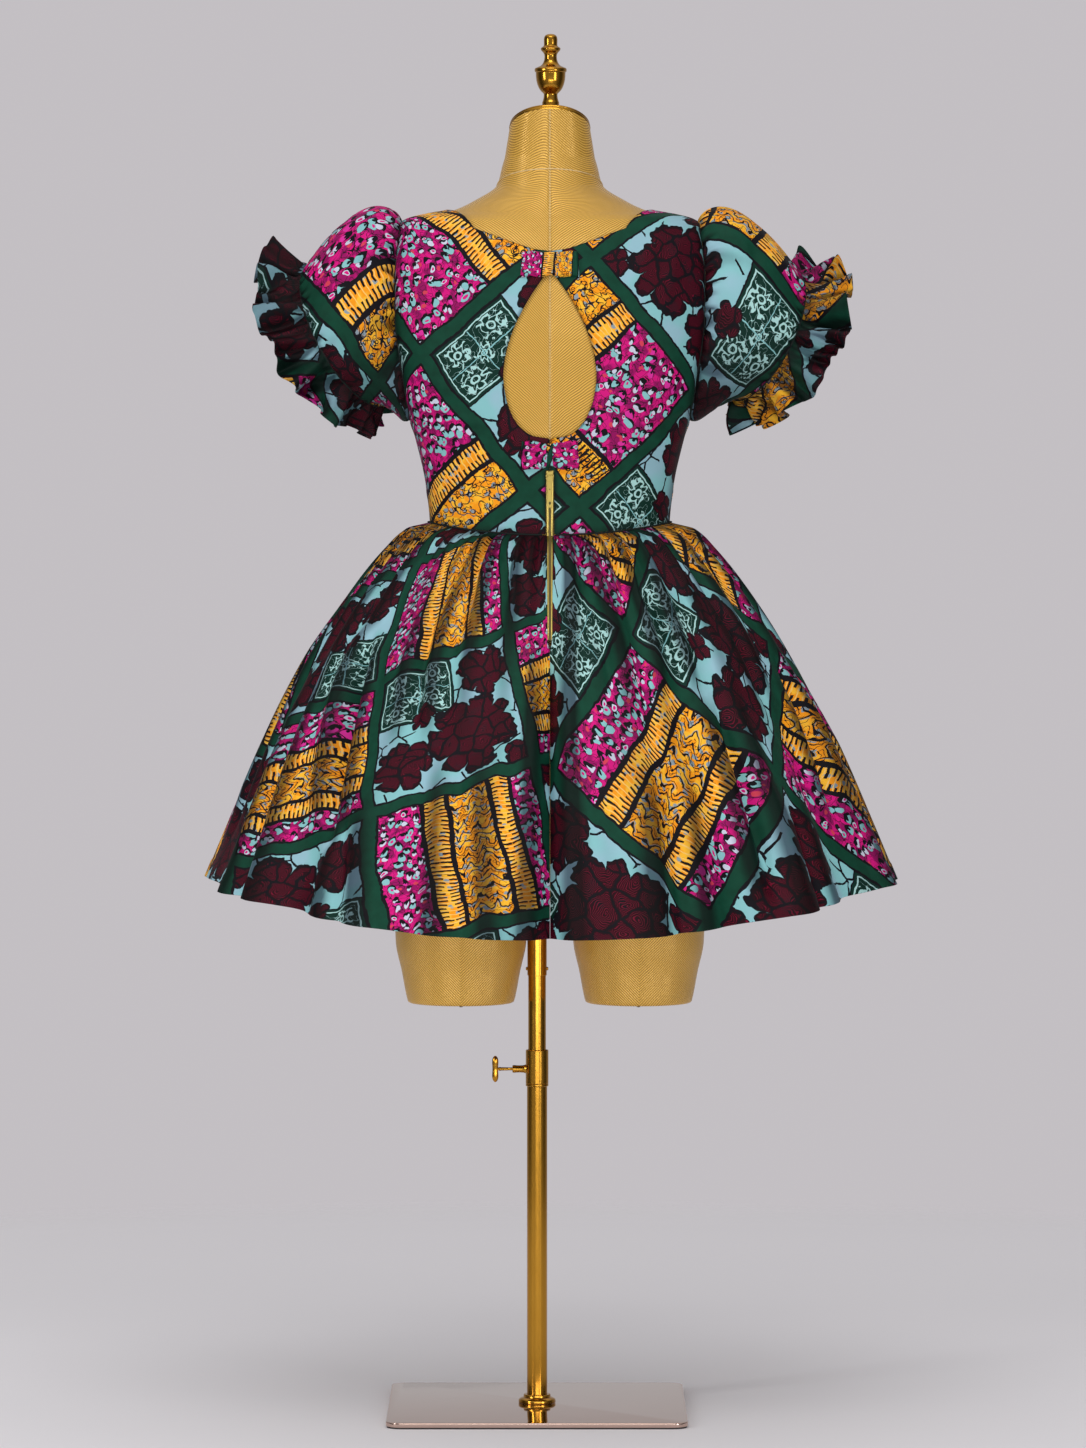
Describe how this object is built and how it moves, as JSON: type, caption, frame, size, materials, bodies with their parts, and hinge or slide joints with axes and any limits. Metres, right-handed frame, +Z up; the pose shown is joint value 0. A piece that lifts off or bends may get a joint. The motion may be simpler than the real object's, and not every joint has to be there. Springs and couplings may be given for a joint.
{
  "type": "ankara wax print dress on dress form and stand",
  "caption": "Knee-length ankara wax print dress, puff sleeves with ruffles, keyhole back, zip and gathered skirt, on a gold dress form and brass stand.",
  "frame": {"origin": "middle of the base's flat underside, on the axis of the stand's tube", "axes": "+Z up; +Y towards the front of the dress, so its back with the keyhole faces -Y; +X towards the wearer's right"},
  "size_m": [0.8129, 0.7352, 1.6255],
  "materials": {
    "print": "crisp printed cotton in green, magenta, orange, aqua and burgundy patches",
    "form_cover": "fine ribbed gold cover with a soft metallic sheen",
    "brass": "polished brass",
    "bronze": "mirror-polished pale bronze",
    "zip_metal": "pale gold metal zip",
    "rubber": "matt black rubber"
  },
  "bodies": {
    "stand": {"base_pad": "rubber", "base_plate": "bronze", "flange_ring": "brass", "lower_tube": "brass", "clamp_collar": "brass"},
    "clamp": {"clamp_screw": "brass"},
    "mast": {"upper_tube": "brass"},
    "form": {"form_torso": "form_cover", "neck_cap": "brass", "neck_finial": "brass", "bodice_front": "print", "bodice_back_left": "print", "bodice_back_right": "print", "tab_upper": "print", "tab_lower": "print", "sleeve_left": "print", "sleeve_right": "print", "sleeve_ruffle_left": "print", "sleeve_ruffle_right": "print", "skirt_front": "print", "skirt_back_left": "print", "skirt_back_right": "print", "zip_chain": "zip_metal", "zip_slider": "zip_metal"},
    "pull": {"zip_pull": "zip_metal"}
  },
  "joints": [
    {"name": "clamp_turn", "type": "hinge", "parent": "stand", "child": "clamp", "pos_m": [-0.03, 0, 0.404], "axis": [1, 0, 0], "continuous": true},
    {"name": "height_slide", "type": "slide", "parent": "stand", "child": "mast", "axis": [0, 0, 1], "range_m": [-0.05, 0.2]},
    {"name": "form_turn", "type": "hinge", "parent": "mast", "child": "form", "pos_m": [0, 0, 0.6], "axis": [0, 0, 1], "continuous": true},
    {"name": "pull_swing", "type": "hinge", "parent": "form", "child": "pull", "pos_m": [0.015, -0.09496, 1.106], "axis": [-1, 0, 0], "range_deg": [0, 110]}
  ]
}
